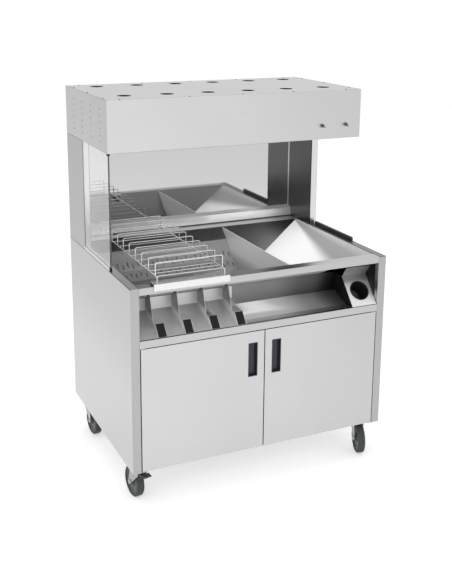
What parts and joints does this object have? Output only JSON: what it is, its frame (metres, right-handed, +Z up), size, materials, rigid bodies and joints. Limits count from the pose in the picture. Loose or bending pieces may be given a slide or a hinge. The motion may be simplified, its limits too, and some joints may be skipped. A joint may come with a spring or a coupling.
{
  "type": "food warmer station",
  "caption": "Stainless fry station on castors: sloped well with ramp, wire rack, open bay, cupboard doors and an overhead heated hood with mirror back.",
  "frame": {"origin": "on the floor, under the middle of the overall box", "axes": "+Z up, the doors and the operator side face -Y, +X to the right of somebody facing the doors"},
  "size_m": [1.1, 0.8139, 1.5476],
  "materials": {
    "stainless": "brushed stainless sheet, light grey",
    "mirror": "mirror polished stainless",
    "glass": "clear toughened glass",
    "black_plastic": "satin black",
    "handle_black": "blue-black moulding",
    "screw_steel": "dull screw heads",
    "reflector": "bright reflector sheet",
    "quartz": "frosted quartz",
    "ceramic": "white ceramic",
    "chrome": "polished",
    "zinc": "zinc plated",
    "rack_wire": "bright wire",
    "tyre": "dark grey rubber",
    "hub": "dark grey moulding"
  },
  "bodies": {
    "cabinet": {"bay_trough": "stainless", "boot_fronts": "black_plastic", "bottom_panel": "stainless", "cabinet_back": "stainless", "cable_grommet": "black_plastic", "carton_rack": "stainless", "castor_plates": "zinc", "glass_caps": "black_plastic", "glass_channel": "stainless", "heater_reflectors": "reflector", "heater_tubes": "quartz", "hinge_brackets": "zinc", "hood_pan": "stainless", "hood_screws": "screw_steel", "hood_shell": "stainless", "hood_top": "stainless", "knock_bar": "black_plastic", "left_column": "stainless", "left_side_panel": "stainless", "lip_rail": "stainless", "magnet_catches": "black_plastic", "mirror_panel": "mirror", "rack_bracket": "stainless", "rear_ledge": "stainless", "right_column": "stainless", "right_side_panel": "stainless", "shaker_panel": "stainless", "side_glass": "glass", "slotted_screen": "stainless", "storage_shelf": "stainless", "toggle_switches": "chrome", "tube_holders": "ceramic", "upper_back_panel": "stainless", "well_hopper": "stainless", "worktop_strips": "stainless"},
    "left_door": {"left_door_skin": "stainless", "left_door_liner": "stainless", "left_pull": "handle_black"},
    "right_door": {"right_door_skin": "stainless", "right_door_liner": "stainless", "right_pull": "handle_black"},
    "left_toggle": {"left_toggle": "chrome"},
    "right_toggle": {"right_toggle": "chrome"},
    "divider": {"divider": "stainless"},
    "shaker_cup": {"shaker_cup": "black_plastic"},
    "wire_rack": {"wire_rack": "rack_wire"},
    "front_left_fork": {"front_left_fork": "zinc"},
    "front_left_wheel": {"front_left_tyre": "tyre", "front_left_hub": "hub"},
    "front_right_fork": {"front_right_fork": "zinc"},
    "front_right_wheel": {"front_right_tyre": "tyre", "front_right_hub": "hub"},
    "rear_left_fork": {"rear_left_fork": "zinc"},
    "rear_left_wheel": {"rear_left_tyre": "tyre", "rear_left_hub": "hub"},
    "rear_right_fork": {"rear_right_fork": "zinc"},
    "rear_right_wheel": {"rear_right_tyre": "tyre", "rear_right_hub": "hub"},
    "front_left_pedal": {"front_left_pedal": "black_plastic"},
    "front_right_pedal": {"front_right_pedal": "black_plastic"}
  },
  "joints": [
    {"name": "left_door_hinge", "type": "hinge", "parent": "cabinet", "child": "left_door", "pos_m": [-0.503, -0.393, 0.405], "axis": [0, 0, -1], "range_deg": [0, 110]},
    {"name": "right_door_hinge", "type": "hinge", "parent": "cabinet", "child": "right_door", "pos_m": [0.503, -0.393, 0.405], "axis": [0, 0, 1], "range_deg": [0, 110]},
    {"name": "left_toggle_rock", "type": "hinge", "parent": "cabinet", "child": "left_toggle", "pos_m": [0.368, -0.1686, 1.403], "axis": [-1, 0, 0], "range_deg": [0, 24]},
    {"name": "right_toggle_rock", "type": "hinge", "parent": "cabinet", "child": "right_toggle", "pos_m": [0.48, -0.1686, 1.403], "axis": [-1, 0, 0], "range_deg": [0, 24]},
    {"name": "divider_lift", "type": "slide", "parent": "cabinet", "child": "divider", "axis": [0, 0, 1], "range_m": [0, 0.3]},
    {"name": "rack_lift", "type": "slide", "parent": "cabinet", "child": "wire_rack", "axis": [0, 0, 1], "range_m": [0, 0.3]},
    {"name": "shaker_cup_lift", "type": "slide", "parent": "cabinet", "child": "shaker_cup", "axis": [0, -0.7607, 0.6491], "range_m": [0, 0.1]},
    {"name": "front_left_swivel", "type": "hinge", "parent": "cabinet", "child": "front_left_fork", "pos_m": [-0.502, -0.314, 0.135], "axis": [0, 0, 1], "continuous": true},
    {"name": "front_left_roll", "type": "hinge", "parent": "front_left_fork", "child": "front_left_wheel", "pos_m": [-0.50535, -0.28218, 0.0625], "axis": [0.9945, 0.1045, 0], "continuous": true},
    {"name": "front_left_brake", "type": "hinge", "parent": "front_left_fork", "child": "front_left_pedal", "pos_m": [-0.49886, -0.34384, 0.123], "axis": [0.9945, 0.1045, 0], "range_deg": [0, 20]},
    {"name": "front_right_swivel", "type": "hinge", "parent": "cabinet", "child": "front_right_fork", "pos_m": [0.502, -0.314, 0.135], "axis": [0, 0, 1], "continuous": true},
    {"name": "front_right_roll", "type": "hinge", "parent": "front_right_fork", "child": "front_right_wheel", "pos_m": [0.49211, -0.34443, 0.0625], "axis": [-0.9511, 0.309, 0], "continuous": true},
    {"name": "front_right_brake", "type": "hinge", "parent": "front_right_fork", "child": "front_right_pedal", "pos_m": [0.51127, -0.28547, 0.123], "axis": [-0.9511, 0.309, 0], "range_deg": [0, 20]},
    {"name": "rear_left_swivel", "type": "hinge", "parent": "cabinet", "child": "rear_left_fork", "pos_m": [-0.502, 0.314, 0.135], "axis": [0, 0, 1], "continuous": true},
    {"name": "rear_left_roll", "type": "hinge", "parent": "rear_left_fork", "child": "rear_left_wheel", "pos_m": [-0.49977, 0.28208, 0.0625], "axis": [-0.9976, -0.0698, 0], "continuous": true},
    {"name": "rear_right_swivel", "type": "hinge", "parent": "cabinet", "child": "rear_right_fork", "pos_m": [0.502, 0.314, 0.135], "axis": [0, 0, 1], "continuous": true},
    {"name": "rear_right_roll", "type": "hinge", "parent": "rear_right_fork", "child": "rear_right_wheel", "pos_m": [0.50645, 0.28231, 0.0625], "axis": [-0.9903, -0.1392, 0], "continuous": true}
  ]
}
